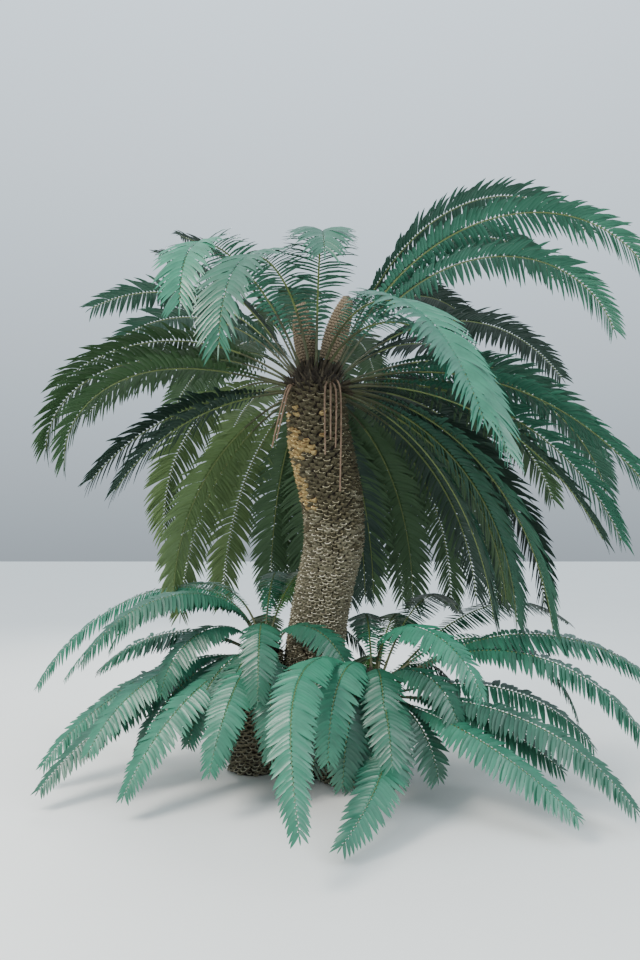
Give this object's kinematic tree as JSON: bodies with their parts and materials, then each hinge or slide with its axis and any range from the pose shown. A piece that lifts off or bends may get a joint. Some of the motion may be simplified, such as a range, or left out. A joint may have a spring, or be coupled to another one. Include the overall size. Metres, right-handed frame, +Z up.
{
  "type": "natal giant cycad",
  "caption": "Old cycad: a stout bent trunk clad in leaf bases, a crown of arching fronds round cones, and leafy suckers at its foot.",
  "frame": {"origin": "on the ground, in the middle of the flat cut under the trunk", "axes": "+Z up, +X to the right of the trunk as the picture shows it, -Y towards the viewer"},
  "size_m": [4.5615, 4.1833, 4.0866],
  "materials": {
    "stem": "rough leaf-base bark",
    "frond": "glossy",
    "cone": "matt",
    "dry_stalk": "matt"
  },
  "bodies": {
    "root": {"cone_left": "cone", "cone_right": "cone", "frond_crown_01": "frond", "frond_crown_02": "frond", "frond_crown_03": "frond", "frond_crown_04": "frond", "frond_crown_05": "frond", "frond_crown_06": "frond", "frond_crown_07": "frond", "frond_crown_08": "frond", "frond_crown_09": "frond", "frond_crown_10": "frond", "frond_crown_11": "frond", "frond_crown_12": "frond", "frond_crown_13": "frond", "frond_crown_14": "frond", "frond_crown_15": "frond", "frond_crown_16": "frond", "frond_crown_17": "frond", "frond_crown_18": "frond", "frond_crown_19": "frond", "frond_crown_20": "frond", "frond_crown_21": "frond", "frond_crown_22": "frond", "frond_crown_23": "frond", "frond_crown_24": "frond", "frond_crown_25": "frond", "frond_crown_26": "frond", "frond_crown_27": "frond", "frond_crown_28": "frond", "frond_crown_29": "frond", "frond_crown_30": "frond", "frond_crown_31": "frond", "frond_crown_32": "frond", "frond_left_01": "frond", "frond_left_02": "frond", "frond_left_03": "frond", "frond_left_04": "frond", "frond_left_05": "frond", "frond_left_06": "frond", "frond_left_07": "frond", "frond_left_08": "frond", "frond_right_01": "frond", "frond_right_02": "frond", "frond_right_03": "frond", "frond_right_04": "frond", "frond_right_05": "frond", "frond_right_06": "frond", "frond_right_07": "frond", "frond_right_08": "frond", "frond_right_09": "frond", "frond_right_10": "frond", "frond_right_11": "frond", "frond_right_12": "frond", "frond_right_13": "frond", "stalks_left": "dry_stalk", "stalks_right": "dry_stalk", "sucker_left": "stem", "sucker_right": "stem", "trunk": "stem"}
  },
  "joints": []
}
